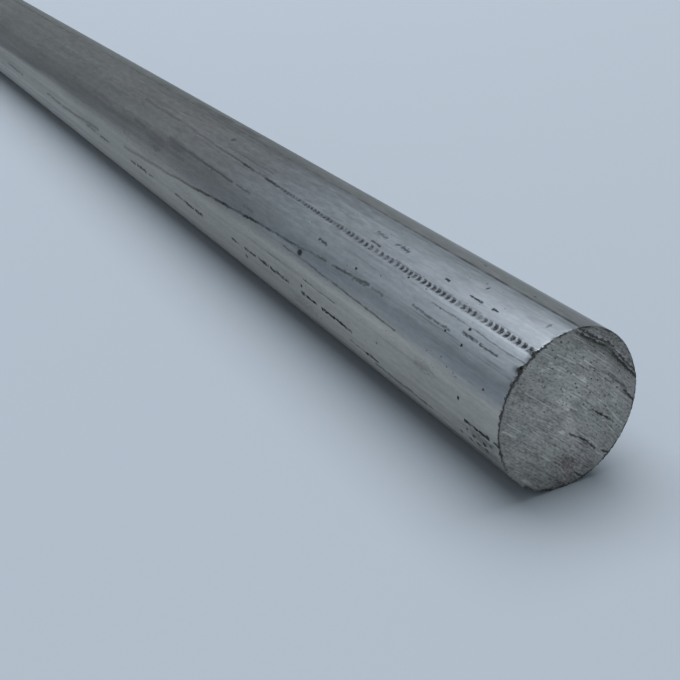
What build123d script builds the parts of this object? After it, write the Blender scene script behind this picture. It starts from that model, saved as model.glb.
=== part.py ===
"""A length of plain round bar, cut off on a circular saw.

The bar is one solid piece of drawn stock.  It lies along X with its lowest line on z = 0 and its
length centred on x = 0.  The end at -X is square, with its edge just broken.  The end at +X is as
the saw left it: a little out of square, with a shallow facet where the blade sprang back at the
end of its cut, and two chips out of the rim.
"""

import os
from math import cos, radians, sin, tan

from build123d import *

# Angles round the bar are in degrees from its top line, towards +Y.

# The stock
bar_diameter = 25.0
bar_length = 500.0  # overall, to the longest point of the sawn end
seam_angle = -165.0  # the line where the round face closes on itself, on the underside

# The square end
edge_break = 0.3

# The sawn end
feed_angle = 37.5  # the way the blade travelled through the bar
saw_lean = 2.5  # how far the cut is from square, set back on the side where the blade came out
blade_radius = 120.0

# The facet where the blade sprang back
facet_width = 2.5  # in from the rim, along the feed
facet_step = 0.12
facet_lean = 5.0  # from the rest of the sawn face

# Chips out of the sawn rim
chip_angles = [-32.7, -46.5]
chip_radii = [0.35, 0.6]

bar_radius = bar_diameter / 2
half_length = bar_length / 2


def outward(angle):
    """The direction square to the bar's axis, at an angle round it."""
    return Vector(0, sin(radians(angle)), cos(radians(angle)))


# The bar's own section, with its centre on the axis
section_plane = Plane(origin=(-half_length, 0, bar_radius), x_dir=outward(seam_angle), z_dir=(1, 0, 0))

# The sawn face: its longest point is where the blade went in, opposite the feed.
lean_slope = tan(radians(saw_lean))
setback = bar_radius * lean_slope
sawn_centre = Vector(half_length - setback, 0, bar_radius)
sawn_normal = (Vector(1, 0, 0) + outward(feed_angle) * lean_slope).normalized()
sawn_plane = Plane(origin=sawn_centre, x_dir=outward(feed_angle), z_dir=sawn_normal)

# The blade turned about an axis square to the sawn face.  The facet starts at its rim.
facet_start = bar_radius / cos(radians(saw_lean)) - facet_width
blade_centre = sawn_centre - sawn_plane.x_dir * (blade_radius - facet_start)
blade_plane = Plane(origin=blade_centre, x_dir=sawn_plane.x_dir, z_dir=-sawn_plane.y_dir)
facet_reach = 2 * facet_width
facet_depth = facet_step + facet_reach * tan(radians(facet_lean))


def rim_point(angle):
    """A point on the sawn rim, at an angle round the bar."""
    along = setback * cos(radians(angle - feed_angle))
    return sawn_centre + outward(angle) * bar_radius - Vector(along, 0, 0)


# ----- the bar -----
with BuildPart() as round_bar:
    with BuildSketch(section_plane) as section:
        Circle(bar_radius)
    extrude(amount=bar_length)
    square_rim = round_bar.edges().filter_by(GeomType.CIRCLE).sort_by(Axis.X)[0]
    chamfer(square_rim, length=edge_break)

    # The saw takes the +X end off, leaning away from square.
    split(bisect_by=sawn_plane, keep=Keep.BOTTOM)

    # The last bite goes deeper: a wedge turned about the blade's own axis.
    with BuildSketch(blade_plane) as last_bite:
        with BuildLine():
            Polyline(
                (blade_radius, facet_width),
                (blade_radius, -facet_step),
                (blade_radius + facet_reach, -facet_depth),
                (blade_radius + facet_reach, facet_width),
                close=True,
            )
        make_face()
    revolve(axis=Axis(blade_centre, sawn_normal), mode=Mode.SUBTRACT)

    # Chips broken out of the rim
    for angle, radius in zip(chip_angles, chip_radii):
        with Locations(rim_point(angle)):
            Sphere(radius, mode=Mode.SUBTRACT)

round_bar.part.label = "round_bar"

os.makedirs("parts", exist_ok=True)
export_step(round_bar.part, "parts/round_bar.step")
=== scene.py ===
import bpy
import random
import numpy as np
from math import atan2, cos, degrees, hypot, radians, sin, tan
from mathutils import Matrix, Vector, noise


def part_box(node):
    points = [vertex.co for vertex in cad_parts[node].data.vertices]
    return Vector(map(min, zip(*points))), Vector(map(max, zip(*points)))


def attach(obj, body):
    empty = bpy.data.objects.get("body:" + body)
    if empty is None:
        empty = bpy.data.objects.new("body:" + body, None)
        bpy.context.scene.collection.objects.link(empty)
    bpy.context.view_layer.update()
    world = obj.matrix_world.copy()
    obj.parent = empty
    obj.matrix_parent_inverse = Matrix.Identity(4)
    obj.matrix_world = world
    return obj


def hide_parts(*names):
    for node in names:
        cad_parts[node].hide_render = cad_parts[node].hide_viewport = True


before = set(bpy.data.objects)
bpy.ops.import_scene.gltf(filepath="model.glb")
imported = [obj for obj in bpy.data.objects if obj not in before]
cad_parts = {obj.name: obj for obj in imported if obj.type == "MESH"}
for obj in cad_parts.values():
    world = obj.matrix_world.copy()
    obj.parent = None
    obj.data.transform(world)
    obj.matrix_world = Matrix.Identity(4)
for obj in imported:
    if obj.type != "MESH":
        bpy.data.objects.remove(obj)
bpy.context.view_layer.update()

# ----- The drawn round -----
# A length of plain round bar in mill-finish aluminium, drawn through a round die.  It lies along X
# on the floor.  The end at -X was faced square in a lathe and its edge just broken.
MM = 0.001
bar_low, bar_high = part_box("round_bar")
stock_radius = 12.5  # mm
bar_radius = (stock_radius - 0.01) * MM  # a hair inside the solid, so that nothing stands proud of it
axis_height = (bar_low.z + bar_high.z) / 2
square_face_x = bar_low.x + 0.02 * MM  # a hair inside as well
bar_sides = 240
edge_break = 0.3 * MM

bpy.ops.object.select_all(action="DESELECT")
bpy.ops.mesh.primitive_cylinder_add(
    vertices=bar_sides,
    radius=bar_radius,
    depth=bar_high.x - square_face_x,
    location=((bar_high.x + square_face_x) / 2, 0, axis_height),
    rotation=(0, radians(90), 0),
)
bar = bpy.context.object
bar.name = bar.data.name = "mill_round_bar"
bpy.ops.object.transform_apply(location=True, rotation=True, scale=True)


def angle_round(point):
    """Degrees round the bar from its top line, towards +Y."""
    return degrees(atan2(point[1], point[2] - axis_height))


def out_at(angle):
    """The direction straight out of the bar, at an angle round it."""
    return Vector((0, sin(radians(angle)), cos(radians(angle))))


def pick_edges(piece, wanted):
    """In edit mode: selects only the edges whose two ends answer yes."""
    bpy.ops.mesh.select_mode(type="EDGE")
    bpy.ops.mesh.select_all(action="DESELECT")
    bpy.ops.object.mode_set(mode="OBJECT")
    points = piece.data.vertices
    for edge in piece.data.edges:
        edge.select = wanted(*(points[v].co for v in edge.vertices))
    bpy.ops.object.mode_set(mode="EDIT")


bpy.ops.object.mode_set(mode="EDIT")
pick_edges(bar, lambda a, b: max(a.x, b.x) < square_face_x + 0.01 * MM)
bpy.ops.mesh.bevel(offset=edge_break, segments=2, profile=0.5)

# The saw cut leans a little out of square, the way that the blade went through the bar.
cut_lean = radians(2.5)
feed_angle = 37.5  # degrees round the bar
feed_way = out_at(feed_angle)
sawn_centre = Vector((bar_high.x - stock_radius * MM * tan(cut_lean), 0, axis_height))
sawn_normal = (Vector((1, 0, 0)) + feed_way * tan(cut_lean)).normalized()

# Rings of edges, in mm back from the sawn end, closer together towards it.  The nearest ones lean
# as the saw cut does.
leaning_rings = [0.2, 0.5, 1.0, 2.0, 3.5, 6, 10]
square_rings = [16, 24, 34, 44, 55, 66, 78, 90, 110, 135, 165, 200, 240, 280, 320, 360, 400, 440, 475]


def cut_ring(place, way):
    """Cuts a ring of edges round the bar, across a plane."""
    bpy.ops.mesh.select_all(action="SELECT")
    bpy.ops.mesh.bisect(plane_co=place, plane_no=way)


for back in leaning_rings:
    cut_ring(sawn_centre - sawn_normal * back * MM, sawn_normal)
for back in square_rings:
    cut_ring(sawn_centre - Vector((back * MM, 0, 0)), (1, 0, 0))

# Where the bar chattered in the die it carries a row of small crescents.  The strip of the round
# face under them is divided finely here, and dented once the end has been sawn.
row_edges = (-36.2, -23.8)  # degrees round the bar
row_length = 78  # mm
strip_step = 0.125  # mm from one edge to the next along the strip
lean_room = 0.6  # mm, a little more than the lean moves a ring's edge along the bar


def turn_in_row(a, b):
    """Degrees round the bar from one point of the strip to another, or -1 off the strip."""
    turns = (angle_round(a), angle_round(b))
    if min(turns) > row_edges[0] and max(turns) < row_edges[1]:
        return max(turns) - min(turns)
    return -1


pick_edges(bar, lambda a, b: turn_in_row(a, b) > 0.3)
bpy.ops.mesh.subdivide(number_cuts=2)
ring_backs = [-lean_room] + leaning_rings + [b for b in square_rings if b <= row_length]
for near, far in zip(ring_backs, ring_backs[1:]):
    cuts = round((far - near) / strip_step) - 1
    first = sawn_centre.x - (far + lean_room) * MM
    last = sawn_centre.x - (near - lean_room) * MM
    pick_edges(
        bar,
        lambda a, b: 0 <= turn_in_row(a, b) < 0.1
        and abs(a.x - b.x) > 1.5 * strip_step * MM
        and min(a.x, b.x) > first
        and max(a.x, b.x) < last,
    )
    if cuts > 0:
        bpy.ops.mesh.subdivide(number_cuts=cuts)
bpy.ops.object.mode_set(mode="OBJECT")

# ----- The sawn end -----
# The other end is as a coarse circular saw left it.  The blade's teeth swept arcs across the face,
# and the last of them bit deeper when the blade sprang back, which left a step and a darker facet.
blade_radius = 120 * MM
facet_start = 10.22 * MM  # past the middle of the face
facet_step = 0.12 * MM
facet_lean = tan(radians(5.0))
step_bulge = 0.42  # mm
bulge_width = 2.5  # mm to each side
step_droop = 0.055  # mm in each mm
face_recess = 0.07 * MM  # how far inside the solid's own face it lies, so that no mark stands proud
highest_mark = 0.06 * MM
feed_in_face = (feed_way - sawn_normal * feed_way.dot(sawn_normal)).normalized()
across_face = feed_in_face.cross(sawn_normal)

# The rows that the teeth left: mm high, mm thick along the feed, and mm long across it
tooth_rows = [
    (0.020, 0.62, 9.0),
    (0.020, 0.30, 4.0),
    (0.014, 0.17, 1.6),
    (0.012, 0.45, 0.5),
    (0.020, 3.0, 12.0),
]

# Gouges: where each starts and ends on the face, in mm from its middle towards +Y and up, and depth
gouges = [
    ((3.8, -0.95), (4.6, -1.3), 0.12),
    ((4.9, -1.6), (7.4, -3.3), 0.18),
    ((7.4, -3.3), (8.6, -4.3), 0.11),
    ((0.3, -3.8), (1.9, -4.8), 0.14),
    ((1.9, -4.8), (3.6, -5.95), 0.18),
    ((3.6, -5.95), (5.4, -7.7), 0.15),
    ((6.7, -8.4), (8.0, -9.2), 0.17),
    ((1.8, -10.6), (3.3, -11.7), 0.15),
    ((3.2, 6.0), (6.9, 3.7), 0.09),
    ((6.9, 3.7), (9.9, 1.2), 0.10),
    ((10.1, 0.5), (12.4, -1.9), 0.18),
]


def smooth_step(value, low, high):
    part = np.clip((value - low) / (high - low), 0, 1)
    return part * part * (3 - 2 * part)


def ridge(value, middle, width):
    """1 where a value is the middle one, and less to each side of it."""
    return np.exp(-(((value - middle) / width) ** 2))


def wander(places, seed):
    """Smooth noise of about -1 to 1 at each place."""
    shift = Vector((seed * 17.3, seed * 5.1, seed * 9.7))
    return np.array([noise.noise(Vector(p) + shift) for p in places])


def wander_flat(first, second, seed):
    """The same for places that are given by two lists of numbers."""
    return wander(np.stack([first, second, np.zeros_like(first)], 1), seed)


def on_arcs(place):
    """How far a place on the face lies along the feed, counted in arcs of the blade, and across it."""
    offset = Vector((0, place[0] * MM, place[1] * MM))
    across = offset.dot(across_face)
    return offset.dot(feed_in_face) + across**2 / (2 * blade_radius), across


def tooth_marks(along, across):
    """How far the sawn face stands from flat, in metres, along the feed and across it."""
    a, c = along / MM, across / MM
    height = 0
    for seed, (high, thick, long) in enumerate(tooth_rows, 1):
        height = height + high * wander_flat(a / thick, c / long, seed)
    # the step bulges in its middle, and its lower end falls back
    step_line = facet_start + MM * (step_bulge * ridge(c, 0, bulge_width) - step_droop * np.maximum(c, 0))
    past_step = along - step_line
    facet = smooth_step(past_step, 0, 0.12 * MM)
    height = height * (1 + 0.3 * facet) * MM
    height -= facet * (facet_step + facet_lean * np.maximum(past_step, 0))
    # the blade left a thin raised lip along the step, with a groove inside it
    broken = 0.5 + 0.5 * np.clip(wander_flat(c / 0.8, a / 0.8, 6) * 2.5, -1, 1)
    past_step = past_step + 0.12 * MM * wander_flat(c / 0.6, a / 0.6, 12)
    height += 0.05 * MM * ridge(past_step, -0.10 * MM, 0.10 * MM) * broken
    height -= 0.08 * MM * ridge(past_step, -0.34 * MM, 0.10 * MM) * (0.4 + 0.6 * broken)
    # the last of the metal tore away at the bottom
    torn_reach = 1.25 - np.hypot((a + 9.4) / 2.4, (c - 7.0) / 2.9) + 0.5 * wander_flat(a / 1.3, c / 1.3, 7)
    torn = smooth_step(torn_reach, 0, 0.5)
    height -= torn * MM * (0.05 + 0.09 * wander_flat(a / 0.7, c / 0.7, 8))
    # the gouges are ragged, and run out at both ends
    width = (0.09 + 0.06 * wander_flat(c / 0.7, a / 0.7, 9)) * MM
    ragged = 0.65 + 0.7 * wander_flat(c / 0.9, a / 0.9, 10)
    for start, end, depth in gouges:
        (a0, c0), (a1, c1) = on_arcs(start), on_arcs(end)
        run = (a1 - a0, c1 - c0)
        t = np.clip(((along - a0) * run[0] + (across - c0) * run[1]) / (run[0] ** 2 + run[1] ** 2), 0, 1)
        away = np.hypot(along - a0 - t * run[0], across - c0 - t * run[1])
        height -= depth * MM * smooth_step(-away, -width * 2, -width * 0.3) * ragged * np.sin(t * np.pi)
    return height


def places_of(piece):
    """The places of a piece's points, a row for each."""
    places = np.zeros(len(piece.data.vertices) * 3)
    piece.data.vertices.foreach_get("co", places)
    return places.reshape(-1, 3)


# The swept path of the teeth: a sheet a little larger than the face, thickened away from the bar
sheet_along = 26.8 * MM
sheet_across = 26.4 * MM
sheet_shift = 0.4 * MM  # towards the facet
sheet_thickness = 4 * MM
bpy.ops.object.select_all(action="DESELECT")
bpy.ops.mesh.primitive_grid_add(x_subdivisions=300, y_subdivisions=100, size=1)
blade_sweep = bpy.context.object
flat = places_of(blade_sweep)
along = flat[:, 0] * sheet_along + sheet_shift
across = flat[:, 1] * sheet_across
rise = np.minimum(tooth_marks(along, across), highest_mark) - face_recess
lengthwise = along - across**2 / (2 * blade_radius)
swept = (
    np.array(sawn_centre)
    + np.outer(lengthwise, feed_in_face)
    + np.outer(across, across_face)
    + np.outer(rise, sawn_normal)
)
blade_sweep.data.vertices.foreach_set("co", swept.ravel())
bpy.ops.object.mode_set(mode="EDIT")
bpy.ops.mesh.select_all(action="SELECT")
bpy.ops.mesh.extrude_region_move(TRANSFORM_OT_translate={"value": sawn_normal * sheet_thickness})
bpy.ops.mesh.select_all(action="SELECT")
bpy.ops.mesh.normals_make_consistent(inside=False)
bpy.ops.object.mode_set(mode="OBJECT")

# Chips out of the rim: degrees round the bar, and size in mm
rim_chips = [(-30.9, 0.30), (-44.4, 0.55), (-50.0, 0.26), (-55.5, 0.22), (-63.0, 0.20)]
cutters = [blade_sweep]
for number, (angle, chip_mm) in enumerate(rim_chips):
    size = chip_mm * MM
    drop = bar_radius * tan(cut_lean) * cos(radians(angle - feed_angle))
    place = sawn_centre + out_at(angle) * bar_radius - Vector((drop, 0, 0))
    bpy.ops.object.select_all(action="DESELECT")
    bpy.ops.mesh.primitive_ico_sphere_add(subdivisions=4, radius=size, location=place)
    chip = bpy.context.object
    bpy.ops.object.transform_apply(location=True, rotation=True, scale=True)
    for vertex in chip.data.vertices:
        way = vertex.co - place
        lump = noise.noise(way / size * 1.6 + Vector((number * 9.0, 0, 0)))
        vertex.co = place + way * (1 + 0.45 * lump)
    cutters.append(chip)

for cutter in cutters:
    bpy.context.view_layer.objects.active = bar
    cut = bar.modifiers.new("saw", "BOOLEAN")
    cut.operation, cut.solver, cut.object = "DIFFERENCE", "EXACT", cutter
    bpy.ops.object.modifier_apply(modifier=cut.name)
    bpy.data.objects.remove(cutter)

# ----- The crescents and the burr -----
# The bar chattered as it came through the die, and the small crescents that this pressed along its
# top have kept their dirt and carry painted shade.  The saw left a ragged burr round the rim, with
# flakes on one part of it.
shades = random.Random(4)
# How the row changes along the bar: mm back from the sawn end, and the value there
row_angles = ([0, 38, 75, 88], [-32.7, -32.2, -30.3, -29.5])  # degrees round the bar
row_half_widths = ([0, 45, 60, 84], [0.58, 0.52, 0.40, 0.30])  # mm
row_strengths = ([0, 55, 84], [1, 1, 0.9])
row_gaps = ([0, 33, 36, 48, 51], [1.31, 1.31, 1.68, 1.62, 1.2])  # mm from one crescent to the next
crescent_depth = 0.060  # mm
mm_a_degree = radians(1) * stock_radius  # mm round the bar in a degree

points = places_of(bar)
radial = np.hypot(points[:, 1], points[:, 2] - axis_height)
angles = np.degrees(np.arctan2(points[:, 1], points[:, 2] - axis_height))
back = (sawn_centre.x - points[:, 0]) / MM
# the divided strip goes out to the true round
strip = (radial > bar_radius * 0.998) & (angles > row_edges[0]) & (angles < row_edges[1])
dent = np.zeros(len(points))
crescent_dirt_and_shade = np.zeros(len(points))
crumbs = np.clip(0.98 + 0.9 * wander(points / (0.30 * MM), 14), 0.35, 1)  # the dirt and painted shade that have stayed
place = 1.2
while place < row_length + 2:
    # w runs from -1 to 1 across a crescent, and t is mm back from its curved front edge
    half_width = np.interp(place, *row_half_widths) * shades.uniform(0.9, 1.1)
    strength = shades.choice([1.0, 1.0, 1.0, 0.95, 0.85, 0.65]) * np.interp(place, *row_strengths)
    w = (angles - np.interp(place, *row_angles)) * mm_a_degree / half_width
    t = back - place - 0.40 * w**2 + shades.uniform(-0.12, 0.12) * w
    fade = np.clip(1 - w**2, 0, 1) ** 0.6
    near = strip & (np.abs(back - place) < 2) & (fade > 0)
    shape = smooth_step(t, -0.16, 0.10) * np.exp(-np.maximum(t, 0) / 0.34)
    dent = np.where(near, np.maximum(dent, shape * fade * crescent_depth * strength), dent)
    # painted shade and dirt in each crescent
    dark = smooth_step(t, -0.36, -0.14) * (1 - smooth_step(t, 0.42, 0.86))
    crescent_dirt_and_shade = np.where(near, np.maximum(crescent_dirt_and_shade, dark * np.sqrt(fade) * strength * crumbs), crescent_dirt_and_shade)
    place += shades.uniform(0.93, 1.07) * np.interp(place, *row_gaps)
radial_new = np.where(strip, bar_radius, radial) - dent * MM

# The blade pushed up dirty flakes: degrees round the bar, half width in degrees, mm high, mm back
burr_flakes = [
    (-33.8, 2.0, 0.50, 0.65),
    (-39.0, 3.0, 0.14, 0.40),
    (-46.8, 2.5, 0.62, 0.75),
    (-52.5, 2.2, 0.30, 0.60),
    (-57.5, 2.2, 0.24, 0.50),
    (-63.5, 2.5, 0.14, 0.40),
]
rim_back = stock_radius * tan(cut_lean) * np.cos(np.radians(angles - feed_angle))
off_rim = np.maximum(back - rim_back, 0)
flakes = np.zeros(len(points))
for middle_angle, half_width, rise, reach in burr_flakes:
    flakes = np.maximum(flakes, ridge(angles, middle_angle, half_width) * ridge(off_rim, 0, reach) * rise)
picked_up = wander(points / (0.30 * MM), 11)
# All round it left a fine ragged burr as well, heaviest where the teeth came out at the low side
heavy_side = -130  # degrees round the bar
low_side = 0.3 + 0.7 * np.clip(np.cos(np.radians(angles - heavy_side)) * 1.6, 0, 1)
ragged = np.clip(0.02 + 0.52 * wander(points / (0.42 * MM), 13), -0.15, 0.22)
pushed = flakes * (0.6 + 1.2 * picked_up) + low_side * ragged * ridge(off_rim, 0, 0.3)
near_rim = (radial > bar_radius * 0.97) & (off_rim < 2) & (points[:, 0] > 0)
from_face = smooth_step(radial, 0.972 * bar_radius, 0.99 * bar_radius)
radial_new = np.where(near_rim, radial_new + pushed * MM * from_face, radial_new)
crescent_dirt_and_shade = np.where(near_rim, np.maximum(crescent_dirt_and_shade, np.clip(flakes * 5 - 0.35, 0, 1)), crescent_dirt_and_shade)

scale = radial_new / np.maximum(radial, 1e-9)
inside = 0.005 * MM  # nothing comes nearer than this to the outside of the solid
points[:, 1] = np.clip(points[:, 1] * scale, inside - stock_radius * MM, stock_radius * MM - inside)
points[:, 2] = axis_height + (points[:, 2] - axis_height) * scale
points[:, 2] = np.clip(points[:, 2], bar_low.z + inside, bar_high.z - inside)
bar.data.vertices.foreach_set("co", points.ravel())
row_dirt_and_shade = bar.data.attributes.new("row_dirt_and_shade", "FLOAT", "POINT")
row_dirt_and_shade.data.foreach_set("value", crescent_dirt_and_shade)
bar.data.update()

bpy.ops.object.select_all(action="DESELECT")
bar.select_set(True)
bpy.context.view_layer.objects.active = bar
bpy.ops.object.shade_smooth_by_angle(angle=radians(34))

# The map of the round face: mm back from the sawn end, and mm round from the top line.  Its seam
# is underneath.  The ends are mapped flat.
map_seam = -165  # degrees round the bar
on_round_face, on_sawn_face, on_square_face = range(3)  # the places of the three finishes
face_map = bar.data.uv_layers.new(name="bar_map")
for face in bar.data.polygons:
    middle = face.center
    centre_angle = angle_round(middle)
    on_end = abs(face.normal.x) > 0.3 or hypot(middle.y, middle.z - axis_height) < 0.96 * bar_radius
    if not on_end:
        face.material_index = on_round_face
    else:
        face.material_index = on_sawn_face if middle.x > 0 else on_square_face
    for loop in face.loop_indices:
        p = bar.data.vertices[bar.data.loops[loop].vertex_index].co
        if on_end:
            face_map.data[loop].uv = (p.y / MM, (p.z - axis_height) / MM)
        else:
            angle = angle_round(p)
            angle += 360 * round((centre_angle - angle) / 360)
            if centre_angle < map_seam:
                angle += 360
            face_map.data[loop].uv = ((sawn_centre.x - p.x) / MM, angle * mm_a_degree)

# ----- Mill finish -----
# The round face is as it left the die: dull silver with fine lines drawn along it, faint stains,
# specks, and scratches and scuffs from the rack that go dark with dirt.  Painted light and shade lie
# over its tone and tint.


def join(tree, socket, value):
    """Gives a socket a number, a colour, or another node's output."""
    if isinstance(value, bpy.types.NodeSocket):
        tree.links.new(value, socket)
    elif value is not None:
        socket.default_value = value


def maths(tree, work, *values):
    node = tree.nodes.new("ShaderNodeMath")
    node.operation = work
    for socket, value in zip(node.inputs, values):
        join(tree, socket, value)
    return node.outputs[0]


def vector_maths(tree, work, *values, out=0):
    node = tree.nodes.new("ShaderNodeVectorMath")
    node.operation = work
    slots = (node.inputs[0], node.inputs["Scale" if work == "SCALE" else 1])
    for socket, value in zip(slots, values):
        join(tree, socket, value)
    return node.outputs[out]


def spread(tree, value, low, high, to_low=0.0, to_high=1.0, kind="SMOOTHSTEP"):
    """Maps a value from one range to another, and holds it there past the ends."""
    node = tree.nodes.new("ShaderNodeMapRange")
    node.interpolation_type = kind
    for socket, number in zip(node.inputs[:5], (value, low, high, to_low, to_high)):
        join(tree, socket, number)
    return node.outputs[0]


def fall(tree, value, low, high):
    """1 below a range, 0 above it."""
    return spread(tree, value, low, high, 1, 0)


def stripe(tree, value, middle, inner, outer, strength=1):
    """A line where a value is near a middle one, fading from an inner to an outer distance."""
    off = maths(tree, "ABSOLUTE", maths(tree, "SUBTRACT", value, middle))
    return spread(tree, off, inner, outer, strength, 0)


def product(tree, first, *others):
    for other in others:
        first = maths(tree, "MULTIPLY", first, other)
    return first


def largest(tree, first, *others):
    for other in others:
        first = maths(tree, "MAXIMUM", first, other)
    return first


def vary(tree, value, pattern, amount):
    """Moves a value up and down by a pattern that runs from 0 to 1."""
    return maths(tree, "MULTIPLY_ADD", maths(tree, "SUBTRACT", pattern, 0.5), amount, value)


def darken(tree, tone, mask, share):
    """Takes a share off a tone where a mask is 1.  A share below 0 brightens it."""
    return product(tree, tone, maths(tree, "MULTIPLY_ADD", mask, -share, 1))


def tint(tree, factor, first, second):
    """Mixes two colours."""
    node = tree.nodes.new("ShaderNodeMix")
    node.data_type = "RGBA"
    for name, value in (("Factor_Float", factor), ("A_Color", first), ("B_Color", second)):
        join(tree, next(s for s in node.inputs if s.identifier == name), value)
    return next(s for s in node.outputs if s.identifier == "Result_Color")


def new_effect(name, takes, gives):
    """A node group with named inputs and one output."""
    tree = bpy.data.node_groups.new(name, "ShaderNodeTree")
    for label, kind, start in takes:
        socket = tree.interface.new_socket(label, in_out="INPUT", socket_type=kind)
        if start is not None:
            socket.default_value = start
    tree.interface.new_socket(gives, in_out="OUTPUT", socket_type="NodeSocketFloat")
    return tree, tree.nodes.new("NodeGroupInput").outputs, tree.nodes.new("NodeGroupOutput").inputs[gives]


def effect(tree, group, **values):
    """Places a node group in a material, with its own values."""
    node = tree.nodes.new("ShaderNodeGroup")
    node.node_tree = group
    for name, value in values.items():
        join(tree, node.inputs[name], value)
    return node.outputs[0]


NUMBER, PLACE = "NodeSocketFloat", "NodeSocketVector"

# fine lines and patches, longer one way than the others
takes = [("Place", PLACE, None), ("Lengths", PLACE, (1, 1, 1)), ("Detail", NUMBER, 2)]
drawn_lines, given, value = new_effect("drawn_lines", takes, "Value")
cells = drawn_lines.nodes.new("ShaderNodeTexNoise")
stretched = vector_maths(drawn_lines, "DIVIDE", given["Place"], given["Lengths"])
join(drawn_lines, cells.inputs["Vector"], stretched)
join(drawn_lines, cells.inputs["Detail"], given["Detail"])
join(drawn_lines, cells.inputs["Scale"], 1)
join(drawn_lines, value, cells.outputs[0])

# specks scattered at random, few of them large
takes = [("Place", PLACE, None), ("Spacing", PLACE, (1, 1, 1)), ("Size", NUMBER, 0.1), ("Share", NUMBER, 0.5)]
specks, given, mask = new_effect("specks", takes, "Mask")
grid = specks.nodes.new("ShaderNodeTexVoronoi")
join(specks, grid.inputs["Vector"], vector_maths(specks, "DIVIDE", given["Place"], given["Spacing"]))
join(specks, grid.inputs["Scale"], 1)
luck = specks.nodes.new("ShaderNodeSeparateColor")
join(specks, luck.inputs[0], grid.outputs["Color"])
there = maths(specks, "LESS_THAN", luck.outputs[0], given["Share"])
reach = product(specks, given["Size"], spread(specks, luck.outputs[1], 0, 1, 0.35, 1, "LINEAR"))
near = fall(specks, maths(specks, "DIVIDE", grid.outputs["Distance"], reach), 0.6, 1)
join(specks, mask, product(specks, near, there))

# one scratch, frayed along its edge
takes = [("Place", PLACE, None), ("Start", PLACE, None), ("End", PLACE, None)]
takes += [("Width", NUMBER, 0.1), ("Fray", NUMBER, 0)]
scratch, given, mask = new_effect("scratch", takes, "Mask")
run = vector_maths(scratch, "SUBTRACT", given["End"], given["Start"])
offset = vector_maths(scratch, "SUBTRACT", given["Place"], given["Start"])
run_squared = maths(scratch, "MAXIMUM", vector_maths(scratch, "DOT_PRODUCT", run, run, out=1), 0.0001)
part = maths(scratch, "DIVIDE", vector_maths(scratch, "DOT_PRODUCT", offset, run, out=1), run_squared)
part = maths(scratch, "MINIMUM", maths(scratch, "MAXIMUM", part, 0), 1)
off_line = vector_maths(scratch, "SUBTRACT", offset, vector_maths(scratch, "SCALE", run, part))
away = maths(scratch, "DIVIDE", vector_maths(scratch, "LENGTH", off_line, out=1), given["Width"])
join(scratch, mask, fall(scratch, maths(scratch, "ADD", away, given["Fray"]), 0.25, 1))

# one stain or spot, longer one way than the other, with a ragged edge
takes = [("Place", PLACE, None), ("Middle", PLACE, None), ("Reach", PLACE, (1, 1, 1)), ("Fray", NUMBER, 0)]
stain, given, mask = new_effect("stain", takes, "Mask")
offset = vector_maths(stain, "SUBTRACT", given["Place"], given["Middle"])
away = vector_maths(stain, "LENGTH", vector_maths(stain, "DIVIDE", offset, given["Reach"]), out=1)
join(stain, mask, fall(stain, maths(stain, "ADD", away, given["Fray"]), 0.35, 1))


def new_metal(name):
    """A bare metal: its material, nodes and shader, and the place on the bar in mm."""
    metal = bpy.data.materials.new(name)
    metal.use_nodes = True
    tree = metal.node_tree
    shader = tree.nodes["Principled BSDF"]
    shader.inputs["Metallic"].default_value = 1
    where = tree.nodes.new("ShaderNodeTexCoord")
    return metal, tree, shader, vector_maths(tree, "SCALE", where.outputs["Object"], 1 / MM)


def lines_on(tree, place, lengths, detail):
    """Fine lines or patches of some lengths in mm."""
    return effect(tree, drawn_lines, Place=place, Lengths=lengths, Detail=detail)


def held_dirt_and_shade(tree):
    """The dirt that the crescents and the flakes hold, and the painted shade in the crescents."""
    held = tree.nodes.new("ShaderNodeAttribute")
    held.attribute_name = "row_dirt_and_shade"
    return held.outputs["Fac"]


def emboss(tree, shader, height):
    """Lets the light catch a height in mm."""
    bump = tree.nodes.new("ShaderNodeBump")
    join(tree, bump.inputs["Distance"], MM)
    join(tree, bump.inputs["Height"], height)
    join(tree, shader.inputs["Normal"], bump.outputs[0])


mill_finish, mill, shader, mm_place = new_metal("mill_finish")
shader.inputs["Specular Tint"].default_value = (0.88, 0.88, 0.88, 1)
unrolled = mill.nodes.new("ShaderNodeUVMap")
unrolled.uv_map = "bar_map"
on_round = unrolled.outputs[0]
split = mill.nodes.new("ShaderNodeSeparateXYZ")
join(mill, split.inputs[0], on_round)
back_mm, round_mm = split.outputs[0], split.outputs[1]

patches = lines_on(mill, mm_place, (34, 6.0, 6.0), 3)
bands = lines_on(mill, mm_place, (240, 2.2, 2.2), 3)
streaks = lines_on(mill, mm_place, (75, 0.9, 0.9), 2)
lines = lines_on(mill, mm_place, (22, 0.34, 0.34), 2)
hairs = lines_on(mill, mm_place, (70, 0.8, 0.8), 1)
mottle = lines_on(mill, mm_place, (3.4, 0.7, 0.7), 3)
hair_gate = spread(mill, lines_on(mill, mm_place, (15, 3, 3), 2), 0.5, 0.62)
hair_mask = product(mill, stripe(mill, hairs, 0.5, 0.0, 0.014), hair_gate)

frayed = maths(mill, "SUBTRACT", lines_on(mill, mm_place, (0.9, 0.3, 0.3), 3), 0.5)
soft_fray = product(mill, frayed, 1.6)
fray = product(mill, frayed, 2.6)
gaps = spread(mill, lines_on(mill, mm_place, (1.3, 1.0, 1.0), 2), 0.34, 0.50, 0.5, 1)
wear = spread(mill, lines_on(mill, mm_place, (3.0, 2.0, 2.0), 3), 0.36, 0.56, 0.55, 1)
wobble = lines_on(mill, mm_place, (7, 30, 30), 3)
sideways = mill.nodes.new("ShaderNodeCombineXYZ")
join(mill, sideways.inputs[1], vary(mill, 0, wobble, 0.9))
worn_place = vector_maths(mill, "ADD", on_round, sideways.outputs[0])

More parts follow.
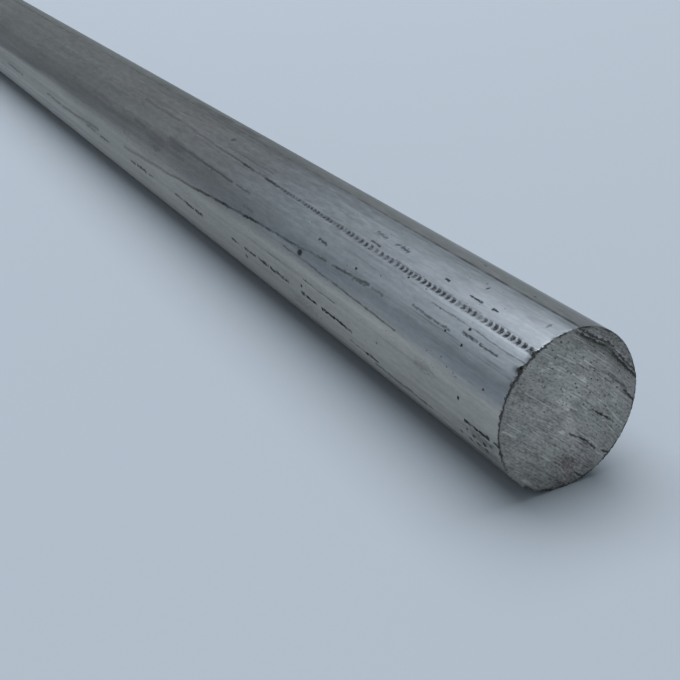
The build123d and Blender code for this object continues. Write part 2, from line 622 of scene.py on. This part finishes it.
# Each mark on the round face is placed in bar radii back from the sawn end and degrees round.
# Dark broken scratches: from one place to another, width in mm, and how dark
broken_scratches = [
    ((-0.04, -99.7), (0.06, -99.6), 0.40, 0.90),
    ((0.16, -99.7), (0.34, -99.7), 0.46, 1.00),
    ((0.38, -99.7), (0.62, -99.6), 0.39, 1.00),
    ((0.30, -126.0), (1.20, -125.0), 0.52, 0.66),
    ((0.10, -135.0), (0.80, -134.0), 0.52, 0.66),
    ((1.40, -114.0), (2.70, -113.0), 0.40, 0.62),
    ((2.60, -108.8), (2.90, -108.7), 0.43, 1.00),
    ((2.90, -108.7), (3.30, -108.2), 0.34, 0.53),
    ((3.22, -98.2), (4.02, -98.0), 0.46, 1.00),
    ((4.20, -97.6), (4.62, -97.5), 0.38, 0.99),
    ((5.05, -96.7), (5.62, -96.5), 0.43, 1.00),
    ((5.70, -96.6), (6.02, -96.5), 0.38, 0.88),
    ((6.14, -96.4), (6.53, -96.4), 0.38, 0.83),
    ((6.77, -96.4), (7.02, -96.4), 0.38, 0.77),
    ((8.22, -96.3), (8.50, -96.3), 0.46, 0.88),
    ((8.60, -96.2), (9.02, -96.0), 0.46, 0.83),
    ((9.10, -95.8), (9.42, -95.6), 0.41, 0.55),
    ((10.50, -96.0), (10.72, -95.9), 0.41, 0.44),
    ((10.88, -95.8), (11.32, -95.6), 0.49, 0.77),
    ((11.45, -95.5), (11.68, -95.4), 0.46, 0.66),
    ((13.00, -94.0), (13.50, -93.8), 0.46, 0.55),
    ((13.80, -93.5), (14.40, -93.2), 0.46, 0.50),
    ((16.20, -92.0), (17.30, -91.5), 0.49, 0.44),
    ((19.40, -91.0), (20.80, -90.5), 0.54, 0.39),
    ((0.44, -47.3), (0.76, -47.2), 0.30, 0.73),
    ((0.82, -47.3), (1.10, -47.2), 0.30, 0.79),
    ((1.30, -51.3), (2.10, -50.8), 0.28, 0.58),
    ((4.32, -49.1), (4.54, -48.9), 0.35, 0.83),
    ((0.94, -22.6), (1.02, -22.6), 0.30, 1.00),
    ((1.22, -22.6), (1.48, -22.4), 0.25, 1.00),
    ((1.93, -21.8), (2.02, -21.4), 0.27, 1.00),
    ((0.26, -12.0), (0.27, -8.0), 0.34, 0.60),
    ((3.40, -26.8), (3.62, -26.4), 0.30, 0.79),
    ((2.94, -17.8), (3.22, -17.2), 0.56, 0.80),
    ((3.48, -17.6), (3.72, -17.0), 0.52, 0.80),
    ((3.10, -57.5), (3.40, -57.9), 0.55, 0.66),
    ((6.45, -61.5), (6.80, -61.0), 0.30, 0.44),
]
# Long soft scratches, without gaps
soft_scratches = [
    ((3.05, -56.2), (3.96, -59.7), 0.36, 0.72),
    ((4.14, -59.6), (4.72, -62.3), 0.34, 0.62),
    ((4.72, -62.3), (6.00, -66.0), 0.34, 0.78),
    ((6.00, -66.0), (7.50, -70.6), 0.39, 0.94),
    ((7.50, -70.6), (8.60, -75.4), 0.39, 0.78),
    ((2.20, -72.8), (3.50, -71.4), 0.28, 0.62),
    ((3.50, -71.4), (5.30, -69.8), 0.28, 0.52),
    ((2.70, -57.5), (2.96, -57.2), 0.36, 0.60),
    ((1.10, -32.5), (1.95, -32.4), 0.95, 0.45),
    ((3.66, -85.2), (4.58, -84.6), 0.18, 0.50),
    ((-0.02, -41.9), (1.85, -41.6), 0.18, 0.50),
    ((0.00, -32.7), (3.00, -32.3), 0.63, 0.38),
    ((3.00, -32.3), (4.60, -31.5), 0.58, 0.45),
    ((4.60, -31.5), (6.30, -30.1), 0.50, 0.55),
    ((6.30, -30.1), (7.60, -29.0), 0.44, 0.92),
    ((2.30, -30.0), (2.95, -29.8), 0.20, 0.55),
]
# Faint unbroken lines farther back
faint_lines = [
    ((7.60, -29.0), (8.70, -28.4), 0.42, 0.66),
    ((8.70, -28.4), (9.90, -26.6), 0.46, 0.58),
    ((9.90, -26.6), (10.60, -26.3), 0.55, 0.52),
    ((10.40, -26.4), (12.20, -25.5), 0.70, 0.62),
    ((12.30, -25.4), (17.00, -24.0), 0.75, 0.44),
    ((6.75, -22.4), (8.40, -22.0), 0.46, 0.62),
    ((8.40, -22.0), (9.40, -22.8), 0.34, 0.40),
    ((6.80, -49.4), (7.30, -49.3), 0.34, 0.50),
    ((7.45, -49.4), (8.70, -49.0), 0.34, 0.62),
    ((8.70, -49.0), (10.20, -47.8), 0.60, 0.50),
    ((9.30, -58.0), (10.10, -58.6), 0.80, 0.30),
    ((11.30, -52.0), (11.90, -51.7), 0.60, 0.46),
    ((13.20, -51.8), (14.40, -51.7), 0.80, 0.36),
    ((8.60, -75.4), (9.80, -79.0), 0.42, 0.42),
    ((9.80, -79.0), (12.00, -85.6), 0.60, 0.28),
    ((10.70, -53.0), (13.00, -56.5), 1.10, 0.26),
    ((13.00, -56.5), (20.00, -67.5), 1.40, 0.26),
    ((20.00, -67.5), (27.00, -78.0), 1.40, 0.22),
    ((13.60, -88.0), (16.10, -93.0), 0.70, 0.34),
    ((16.50, -40.0), (19.00, -41.0), 0.90, 0.22),
    ((19.00, -28.0), (24.00, -30.0), 1.00, 0.22),
]
# Pits, spots and stains: place, mm long, mm across, and how dark
pits = [
    ((1.00, -54.9), 0.76, 0.59, 1.00),
    ((1.36, -53.0), 0.76, 0.70, 1.00),
    ((1.04, -43.1), 0.90, 0.64, 1.00),
    ((1.66, -42.1), 0.81, 0.54, 0.83),
    ((2.50, -35.6), 0.67, 0.64, 1.00),
    ((3.46, -51.3), 0.98, 0.70, 1.00),
    ((0.76, -86.3), 0.71, 0.84, 1.00),
    ((4.62, -91.8), 0.98, 0.88, 0.90),
    ((6.53, -104.0), 1.34, 1.36, 0.83),
    ((0.38, -70.0), 0.67, 0.64, 0.83),
    ((1.42, -9.6), 0.59, 1.13, 0.90),
    ((1.52, -5.8), 0.59, 0.54, 0.68),
    ((8.10, -23.1), 1.12, 0.99, 0.68),
    ((8.25, -50.0), 1.12, 1.23, 0.55),
    ((2.56, -91.4), 0.60, 0.50, 0.70),
    ((4.50, -84.2), 0.60, 0.50, 0.80),
    ((0.15, -105.5), 0.90, 0.80, 0.70),
    ((0.28, -107.8), 1.50, 1.20, 0.95),
    ((0.47, -107.8), 1.30, 1.10, 0.85),
    ((0.60, -105.8), 0.90, 0.80, 0.75),
    ((0.27, -113.6), 1.40, 1.30, 0.75),
    ((0.43, -113.0), 1.60, 1.20, 0.80),
    ((0.58, -114.0), 1.20, 1.20, 0.70),
    ((0.76, -113.4), 1.00, 1.00, 0.60),
    ((0.96, 9.4), 1.20, 0.60, 0.80),
    ((2.04, 14.0), 1.60, 0.60, 0.80),
]
oval_spot = [((4.82, -66.2), 2.5, 1.8, 0.95)]
near_stains = [
    ((1.50, -83.0), 7.0, 2.0, 0.22),
    ((0.38, -106.0), 7.5, 2.6, 0.38),
    ((0.25, -115.0), 8.0, 2.6, 0.36),
    ((2.00, -114.5), 20, 2.0, 0.30),
    ((4.60, -110.0), 14, 2.6, 0.24),
]
far_stains = [
    ((9.80, -51.0), 16, 3.0, 0.45),
    ((10.6, -57.0), 20, 4.0, 0.38),
    ((15.0, -56.0), 60, 5.0, 0.22),
    ((6.40, 6.5), 12, 2.0, 0.40),
    ((7.85, 7.0), 6, 2.0, 0.40),
    ((8.95, 12.5), 18, 3.4, 0.62),
    ((9.90, 12.0), 20, 3.4, 0.62),
    ((10.8, 11.0), 16, 3.0, 0.58),
    ((12.6, 9.0), 24, 3.0, 0.40),
    ((10.5, -63.0), 9, 2.6, 0.34),
    ((9.90, -47.5), 14, 2.2, 0.42),
    ((6.00, -22.0), 5, 2.4, 0.22),
    ((8.57, -12.0), 2.6, 1.9, 0.80),
]


def spot_on_round(place):
    return (place[0] * stock_radius, place[1] * mm_a_degree, 0)


def scratches(wanted, edge_fray):
    """How dark a list of scratches makes each place."""
    darkest = 0.0
    for start, end, width, dark in wanted:
        ends = {"Start": spot_on_round(start), "End": spot_on_round(end)}
        mask = effect(mill, scratch, Place=worn_place, Width=width, Fray=edge_fray, **ends)
        darkest = largest(mill, darkest, product(mill, mask, dark))
    return darkest


def spots(wanted, edge_fray):
    """How dark a list of pits or stains makes each place."""
    darkest = 0.0
    for place, length, width, dark in wanted:
        reach = (length / 2, width / 2, 1)
        mask = effect(mill, stain, Place=worn_place, Middle=spot_on_round(place), Reach=reach, Fray=edge_fray)
        darkest = largest(mill, darkest, product(mill, mask, dark))
    return darkest


marks = product(mill, scratches(broken_scratches, fray), gaps)
marks = largest(mill, marks, product(mill, scratches(soft_scratches, soft_fray), wear))
marks = largest(mill, marks, scratches(faint_lines, product(mill, soft_fray, 0.5)))
marks = largest(mill, marks, spots(pits, product(mill, fray, 0.5)))
marks = largest(mill, marks, spots(oval_spot, 0.0))
marks = largest(mill, marks, spots(near_stains, fray))
marks = largest(mill, marks, spots(far_stains, product(mill, soft_fray, 0.7)))

# The line that the die drew along the top of the bar, with a painted highlight along its near side, and
# beyond it a strip painted duller and greener, a painted reflection
wave = lines_on(mill, mm_place, (60, 900, 900), 1)
line_place = maths(mill, "ADD", vary(mill, 0.9, wave, 0.3), spread(mill, back_mm, 25, 65, 0, 0.18))
line_gate = spread(mill, lines_on(mill, mm_place, (4, 300, 300), 3), 0.34, 0.62, 0.62, 1)
past_line = maths(mill, "SUBTRACT", round_mm, line_place)
past_line = maths(mill, "MULTIPLY_ADD", soft_fray, 0.12, past_line)
draw_line = product(mill, stripe(mill, past_line, 0, 0.14, 0.46), spread(mill, back_mm, 20, 70, 0.88, 0.74))
marks = largest(mill, marks, product(mill, draw_line, line_gate))
line_lip_highlight = product(mill, stripe(mill, past_line, -0.5, 0.1, 0.4), fall(mill, back_mm, 30, 80))
strip = product(mill, spread(mill, past_line, 0.0, 0.25), fall(mill, round_mm, 7.5, 10))

# The underside has a warmer film on it, and its colour is painted lighter, a painted reflection of the
# floor.  It ends along a wavering line which the long slanting scratch crosses, and farther back the
# metal between the two has painted shade on it.
film_and_floor_reflection = fall(mill, maths(mill, "SUBTRACT", round_mm, vary(mill, -15.4, patches, 3.0)), -1.6, 1.4)
slant = spread(mill, back_mm, 75, 150, -15.0, -18.8, "LINEAR")
# painted shade between the film's edge and the slanting scratch, farther back
slant_painted_shade = spread(mill, maths(mill, "SUBTRACT", round_mm, slant), -0.2, 0.3)
slant_painted_shade = product(mill, slant_painted_shade, spread(mill, back_mm, 60, 120), fall(mill, round_mm, -12.5, -10.5))
slant_painted_shade = product(mill, slant_painted_shade, fall(mill, back_mm, 170, 260))

# Painted light and shade: painted shade between the row and the top, a painted highlight in a band on
# the film, and painted shade in a long patch beyond the row, low down by the sawn end, and farther back.
top_shade_edge = spread(mill, back_mm, 75, 130, -8.2, -4.8)
top_painted_shade = spread(mill, maths(mill, "SUBTRACT", round_mm, top_shade_edge), 0, 2.6)
top_painted_shade = product(mill, top_painted_shade, fall(mill, round_mm, 0.5, 2.5))
painted_highlight_band = product(mill, spread(mill, round_mm, -17.8, -15.8), fall(mill, round_mm, -13.5, -11.5))
painted_highlight_band = product(mill, painted_highlight_band, fall(mill, back_mm, 120, 180))
long_painted_shade = product(mill, spread(mill, back_mm, 62, 100), fall(mill, back_mm, 150, 200))
long_painted_shade = product(mill, long_painted_shade, spread(mill, round_mm, -9.5, -7))
# painted shade low on the underside by the sawn end, where it meets the floor
underside_contact_shade = product(mill, fall(mill, round_mm, -29, -24.5), fall(mill, back_mm, 60, 180))
far_painted_shade = spread(mill, back_mm, 42, 100)

# A ragged dark fringe along the sawn rim, which leans as the cut does
rim_angle = maths(mill, "SUBTRACT", maths(mill, "DIVIDE", round_mm, stock_radius), radians(feed_angle))
rim_back = product(mill, maths(mill, "COSINE", rim_angle), stock_radius * tan(cut_lean))
off_rim = maths(mill, "SUBTRACT", back_mm, rim_back)
fringe_reach = spread(mill, round_mm, -4, -10, 0.12, 0.20)
fringe_reach = product(mill, fringe_reach, spread(mill, wobble, 0.4, 0.62, 0.4, 1.8))
fringe = maths(mill, "DIVIDE", off_rim, largest(mill, fringe_reach, 0.05))
fringe = spread(mill, maths(mill, "ADD", fringe, fray), 0.3, 1.3, 0.8, 0)
marks = largest(mill, marks, product(mill, fringe, spread(mill, round_mm, -2, -6, 0.35, 1)))

small_specks = effect(mill, specks, Place=mm_place, Spacing=(1.8, 0.9, 0.9), Size=0.19, Share=0.22)
long_specks = effect(mill, specks, Place=mm_place, Spacing=(4.5, 0.9, 0.9), Size=0.13, Share=0.14)
dirt_and_crescent_shade = largest(mill, product(mill, small_specks, 0.5), product(mill, long_specks, 0.45))
dirt_and_crescent_shade = largest(mill, dirt_and_crescent_shade, product(mill, hair_mask, 0.32), marks, held_dirt_and_shade(mill))

grain = lines_on(mill, mm_place, (1.2, 0.36, 0.36), 3)
patterns = [(patches, 0.45), (bands, 0.60), (streaks, 0.38), (lines, 0.22), (mottle, 0.30), (grain, 0.34)]
# the places of painted shade, and below them those of painted highlights
painted_shade_places = [(far_painted_shade, 0.14), (slant_painted_shade, 0.07), (top_painted_shade, 0.15), (long_painted_shade, 0.11), (underside_contact_shade, 0.38)]
painted_highlight_places = [(painted_highlight_band, 0.08), (line_lip_highlight, 0.10)]
tone = 1
for pattern, amount in patterns:
    tone = vary(mill, tone, pattern, amount)
for mask, share in painted_shade_places:
    tone = darken(mill, tone, mask, share)
for mask, share in painted_highlight_places:
    tone = darken(mill, tone, mask, -share)

cool_highlight_silver = (0.347, 0.367, 0.400, 1)
plain_silver = (0.376, 0.370, 0.380, 1)
warm_film_and_reflection = (0.446, 0.438, 0.408, 1)
green_strip_reflection = (0.325, 0.344, 0.330, 1)
mauve_strip_reflection = (0.364, 0.352, 0.372, 1)
black_dirt_and_shade = (0.039, 0.042, 0.047, 1)
# bluer near the sawn end, a painted tint of the cool highlight there
silver = tint(mill, spread(mill, back_mm, 60, 125), cool_highlight_silver, plain_silver)
# the film's colour, painted lighter as a painted reflection of the floor
silver = tint(mill, film_and_floor_reflection, silver, warm_film_and_reflection)
strip_cloud = lines_on(mill, mm_place, (5.5, 1.4, 1.4), 3)
# the strip's greens and mauves are a painted reflection
strip_reflection_hue = tint(mill, spread(mill, strip_cloud, 0.38, 0.62), green_strip_reflection, mauve_strip_reflection)
silver = tint(mill, strip, silver, strip_reflection_hue)
silver = vector_maths(mill, "SCALE", silver, tone)
# black for the dirt, and for the painted shade in the crescents
join(mill, shader.inputs["Base Color"], tint(mill, dirt_and_crescent_shade, silver, black_dirt_and_shade))

rough = vary(mill, vary(mill, 0.375, bands, -0.3), mottle, 0.14)
rough = maths(mill, "MULTIPLY_ADD", film_and_floor_reflection, 0.08, rough)
rough = maths(mill, "MULTIPLY_ADD", dirt_and_crescent_shade, 0.3, rough)
join(mill, shader.inputs["Roughness"], rough)

height = maths(mill, "MULTIPLY_ADD", lines, 0.012, product(mill, mottle, 0.004))
emboss(mill, shader, maths(mill, "MULTIPLY_ADD", small_specks, -0.02, height))

# ----- Sawn metal -----
# The cut face is torn aluminium: bright flecks and dark pits along the arcs of the teeth, a duller
# facet past the step, dark gouges, a brownish patch where the last of it tore, and a darker rim, with
# painted shade where the face dips to the step and painted highlights along the step's lips.
sawn_metal, sawn, shader, mm_place = new_metal("sawn_metal")


def place_on_end(tree, mm_place):
    """A place on an end of the bar, in mm from its axis."""
    from_axis = vector_maths(tree, "SUBTRACT", mm_place, (0, 0, axis_height / MM))
    return vector_maths(tree, "MULTIPLY", from_axis, (0, 1, 1))


flat_place = place_on_end(sawn, mm_place)
feed_mm = vector_maths(sawn, "DOT_PRODUCT", flat_place, tuple(feed_way), out=1)
across_mm = vector_maths(sawn, "DOT_PRODUCT", flat_place, tuple(across_face), out=1)
arc_mm = maths(sawn, "MULTIPLY_ADD", product(sawn, across_mm, across_mm), MM / (2 * blade_radius), feed_mm)
arcs = sawn.nodes.new("ShaderNodeCombineXYZ")
join(sawn, arcs.inputs[0], arc_mm)
join(sawn, arcs.inputs[1], across_mm)
arc_place = arcs.outputs[0]

streaks = lines_on(sawn, arc_place, (0.22, 1.9, 1), 3)
flecks = lines_on(sawn, arc_place, (0.30, 0.72, 1), 4)
long_streaks = lines_on(sawn, arc_place, (0.5, 6.5, 1), 2)
cloud = lines_on(sawn, arc_place, (2.6, 4.5, 1), 4)
sweeps = lines_on(sawn, arc_place, (0.9, 30, 1), 2)
fine_arcs = lines_on(sawn, arc_place, (0.50, 26, 1), 1)
arc_gate = lines_on(sawn, arc_place, (1.6, 3.2, 1), 2)
shine_and_highlights = product(sawn, stripe(sawn, fine_arcs, 0.5, 0.0, 0.035), spread(sawn, arc_gate, 0.48, 0.60))
score = product(sawn, stripe(sawn, fine_arcs, 0.43, 0.0, 0.045), fall(sawn, arc_gate, 0.42, 0.52))
score = product(sawn, score, spread(sawn, across_mm, -9, 4, 0.2, 0.8))
pores = effect(sawn, specks, Place=arc_place, Spacing=(0.40, 0.62, 1), Size=0.44, Share=0.42)
pores = product(sawn, pores, spread(sawn, feed_mm, -6, 5, 0.35, 1.0))

# how far past the step, which bulges in its middle and falls back at its lower end
bulge = maths(sawn, "DIVIDE", across_mm, bulge_width)
bulge = maths(sawn, "EXPONENT", product(sawn, bulge, bulge, -1))
past_step = maths(sawn, "SUBTRACT", arc_mm, facet_start / MM)
past_step = maths(sawn, "MULTIPLY_ADD", bulge, -step_bulge, past_step)
past_step = maths(sawn, "MULTIPLY_ADD", largest(sawn, across_mm, 0), step_droop, past_step)
facet = spread(sawn, past_step, -0.05, 0.10)
frayed_step = vary(sawn, past_step, flecks, 1)
step_groove = stripe(sawn, frayed_step, -0.36, 0.08, 0.34, 0.9)
step_foot = stripe(sawn, frayed_step, 0.20, 0.06, 0.22, 0.85)
step_gate = spread(sawn, arc_gate, 0.36, 0.5, 0.45, 1)
# painted highlights along the lip of the step, and along a second lip past it
step_lip_highlight = stripe(sawn, frayed_step, -0.06, 0.05, 0.16)
step_lip_highlight = product(sawn, step_lip_highlight, spread(sawn, arc_gate, 0.42, 0.52, 0.3, 1))
second_lip_highlight = stripe(sawn, frayed_step, 0.46, 0.04, 0.14, 0.9)
second_lip_highlight = product(sawn, second_lip_highlight, spread(sawn, across_mm, 0.2, 1.6))

# Bright streaks: where each starts and ends, in the way the gouges do
bright_streaks = [
    ((-8.2, 5.0), (-4.0, 1.7)),
    ((-2.1, 2.2), (1.4, -0.4)),
    ((-11.1, 1.1), (-8.6, -0.9)),
    ((7.2, -1.6), (10.4, -5.1)),
    ((2.0, 7.3), (6.9, 3.4)),
    ((2.5, 8.6), (6.2, 5.8)),
    ((-3.0, 9.4), (0.4, 7.2)),
    ((6.5, -3.4), (9.0, -6.2)),
]
black_gouge = 0.2  # mm, the depth at which a gouge is quite dark
fray = vary(sawn, 0, flecks, 2.6)


def face_scratch(start, end, width):
    """A scratch on the sawn face, from one place to another."""
    ends = {"Start": (0, *start), "End": (0, *end)}
    return effect(sawn, scratch, Place=flat_place, Width=width, Fray=fray, **ends)


cuts = 0.0
for start, end, depth in gouges:
    cuts = largest(sawn, cuts, product(sawn, face_scratch(start, end, 0.26), depth / black_gouge))
for start, end in bright_streaks:
    shine_and_highlights = largest(sawn, shine_and_highlights, face_scratch(start, end, 0.13))
shine_and_highlights = largest(sawn, shine_and_highlights, step_lip_highlight, second_lip_highlight)

from_axis = vector_maths(sawn, "LENGTH", flat_place, out=1)
rim = spread(sawn, vary(sawn, vary(sawn, from_axis, flecks, 0.7), arc_gate, 0.7), 12.10, 12.42)
sides = sawn.nodes.new("ShaderNodeSeparateXYZ")
join(sawn, sides.inputs[0], flat_place)
left_rim = product(sawn, fall(sawn, sides.outputs[1], -8, -5), spread(sawn, sides.outputs[2], -6, -2))
rim_gate = largest(sawn, spread(sawn, arc_gate, 0.42, 0.56, 0.2, 1), left_rim)
torn_reach = vector_maths(sawn, "DISTANCE", flat_place, (0, 0.7, -9.6), out=1)
torn = fall(sawn, vary(sawn, vary(sawn, torn_reach, cloud, 8), flecks, 5), 0.4, 3.7)
shade = spread(sawn, vary(sawn, past_step, cloud, 3), -2.6, -0.5)  # where the face dips to the step
shade = darken(sawn, shade, facet, 1)
shade = product(sawn, shade, spread(sawn, maths(sawn, "ABSOLUTE", across_mm), 3.5, 8, 1, 0.3))

contrast = maths(sawn, "MULTIPLY_ADD", facet, 1.4, 1.7)
contrast = maths(sawn, "MULTIPLY_ADD", torn, 1.2, contrast)
patterns = [(flecks, contrast), (streaks, 0.85), (long_streaks, 0.45), (sweeps, 0.35), (cloud, 1)]
tone = 1
for pattern, amount in patterns:
    tone = vary(sawn, tone, pattern, amount)
tone = maths(sawn, "MULTIPLY_ADD", shine_and_highlights, 0.45, tone)
for mask, share in ((facet, 0.20), (shade, 0.42), (torn, 0.16)):
    tone = darken(sawn, tone, mask, share)
tone = largest(sawn, product(sawn, tone, spread(sawn, from_axis, 4, 12.4, 1.05, 0.88)), 0.15)

green_grey = (0.433, 0.427, 0.394, 1)
plain_grey = (0.440, 0.422, 0.398, 1)
facet_grey = (0.42, 0.405, 0.385, 1)
torn_brown = (0.43, 0.35, 0.36, 1)
saw_dirt_and_shade = (0.05, 0.046, 0.042, 1)
hue = lines_on(sawn, flat_place, (1, 7, 7), 2)
grey = tint(sawn, spread(sawn, hue, 0.35, 0.65), green_grey, plain_grey)
grey = tint(sawn, facet, grey, facet_grey)
grey = tint(sawn, product(sawn, torn, 0.55), grey, torn_brown)
grey = vector_maths(sawn, "SCALE", grey, tone)
dark = largest(sawn, cuts, product(sawn, rim, rim_gate, 0.85))
dark = largest(sawn, dark, product(sawn, largest(sawn, step_groove, step_foot), step_gate))
dark = largest(sawn, dark, product(sawn, score, 0.7), product(sawn, pores, 0.75))
# dirt from the flakes, and painted shade from the crescents
dark = largest(sawn, dark, product(sawn, held_dirt_and_shade(sawn), 0.9))
join(sawn, shader.inputs["Base Color"], tint(sawn, dark, grey, saw_dirt_and_shade))

rough = maths(sawn, "MULTIPLY_ADD", shine_and_highlights, -0.12, vary(sawn, 0.52, flecks, 0.5))
join(sawn, shader.inputs["Roughness"], rough)
height = maths(sawn, "MULTIPLY_ADD", streaks, 0.05, product(sawn, flecks, 0.05))
emboss(sawn, shader, maths(sawn, "MULTIPLY_ADD", pores, -0.03, height))

# ----- Faced metal -----
# The square end was faced in a lathe: fine rings about the middle, bright, with a few small knocks.
# The tool left a darker spot at the very middle.
faced_metal, faced, shader, mm_place = new_metal("faced_metal")
flat_place = place_on_end(faced, mm_place)
from_axis = vector_maths(faced, "LENGTH", flat_place, out=1)
rings = faced.nodes.new("ShaderNodeCombineXYZ")
join(faced, rings.inputs[0], from_axis)
tool_rings = lines_on(faced, rings.outputs[0], (0.12, 1, 1), 2)
broad_rings = lines_on(faced, rings.outputs[0], (0.8, 1, 1), 2)
smear = lines_on(faced, flat_place, (4, 4, 4), 4)
knocks = effect(faced, specks, Place=flat_place, Spacing=(2.2, 2.2, 2.2), Size=0.18, Share=0.3)
tone = vary(faced, vary(faced, 1, tool_rings, 0.9), broad_rings, 0.5)
tone = product(faced, tone, spread(faced, from_axis, 0.25, 0.6, 0.6, 1))
tone = vary(faced, tone, smear, 0.35)
bright_grey = vector_maths(faced, "SCALE", (0.46, 0.465, 0.46), tone)
knock_dirt = (0.06, 0.055, 0.05, 1)
join(faced, shader.inputs["Base Color"], tint(faced, product(faced, knocks, 0.6), bright_grey, knock_dirt))
join(faced, shader.inputs["Roughness"], vary(faced, 0.34, smear, 0.3))
emboss(faced, shader, product(faced, tool_rings, 0.05))

# in the order of on_round_face, on_sawn_face and on_square_face
for metal in (mill_finish, sawn_metal, faced_metal):
    bar.data.materials.append(metal)

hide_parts("round_bar")
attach(bar, "root")

# ----- Floor -----
# A plain pale floor of smooth paper, wide enough that its edge is never seen.
bpy.ops.mesh.primitive_plane_add(size=40, location=(0, 0, 0))
floor = bpy.context.object
floor.name = "floor"
paper = bpy.data.materials.new("pale_floor")
paper.use_nodes = True
shader = paper.node_tree.nodes["Principled BSDF"]
shader.inputs["Base Color"].default_value = (0.508, 0.545, 0.608, 1)
shader.inputs["Roughness"].default_value = 0.6
floor.data.materials.append(paper)

# ----- Light -----
# Soft grey daylight from all round, a broad soft lamp overhead that draws the highlight along the
# bar, and a weak low window on the side of the film.
world = bpy.data.worlds.new("room")
bpy.context.scene.world = world
world.use_nodes = True
daylight = world.node_tree.nodes["Background"]
daylight.inputs["Color"].default_value = (0.207, 0.240, 0.248, 1)
daylight.inputs["Strength"].default_value = 1


def soft_lamp(name, place, aim, width, length, watts, colour):
    """A soft box at a place, facing a point."""
    lamp = bpy.data.lights.new(name, "AREA")
    lamp.shape, lamp.size, lamp.size_y = "RECTANGLE", width, length
    lamp.energy, lamp.color = watts, colour
    holder = bpy.data.objects.new(name, lamp)
    bpy.context.collection.objects.link(holder)
    holder.location = place
    holder.rotation_euler = (Vector(aim) - Vector(place)).to_track_quat("-Z", "Y").to_euler()
    holder.visible_camera = False


soft_lamp(
    "overhead",
    place=(-0.42, 0.27, 1.5),
    aim=(-0.42, 0.2701, 0),  # a hair off plumb, which settles how it is turned
    width=1.4,
    length=2.2,
    watts=28.5,
    colour=(0.90, 0.955, 1),
)
soft_lamp(
    "low_window",
    place=(-0.66, -0.80, 0.80),
    aim=(0.2, 0, 0),
    width=0.6,
    length=0.6,
    watts=0.88,
    colour=(0.88, 0.945, 1),
)

# ----- Camera -----
# It stands level, about 13 bar radii from the sawn end, and looks down along the bar.
eye = bpy.data.cameras.new("camera")
eye.lens, eye.sensor_width = 59.56, 36
eye.clip_start, eye.clip_end = 0.01, 50
camera = bpy.data.objects.new("camera", eye)
bpy.context.collection.objects.link(camera)
eye_radii = Vector((8.3279, -7.5753, 6.2677))  # bar radii from the middle of the sawn face
eye_place = sawn_centre + eye_radii * stock_radius * MM
forward = Vector((-0.7844, 0.436, -0.4411)).normalized()
right = Vector((0.4858, 0.8741, 0)).normalized()
turn = Matrix((right, right.cross(forward), -forward)).transposed().to_4x4()
camera.matrix_world = Matrix.Translation(eye_place) @ turn
bpy.context.scene.camera = camera
bpy.context.scene.view_settings.view_transform = "Standard"
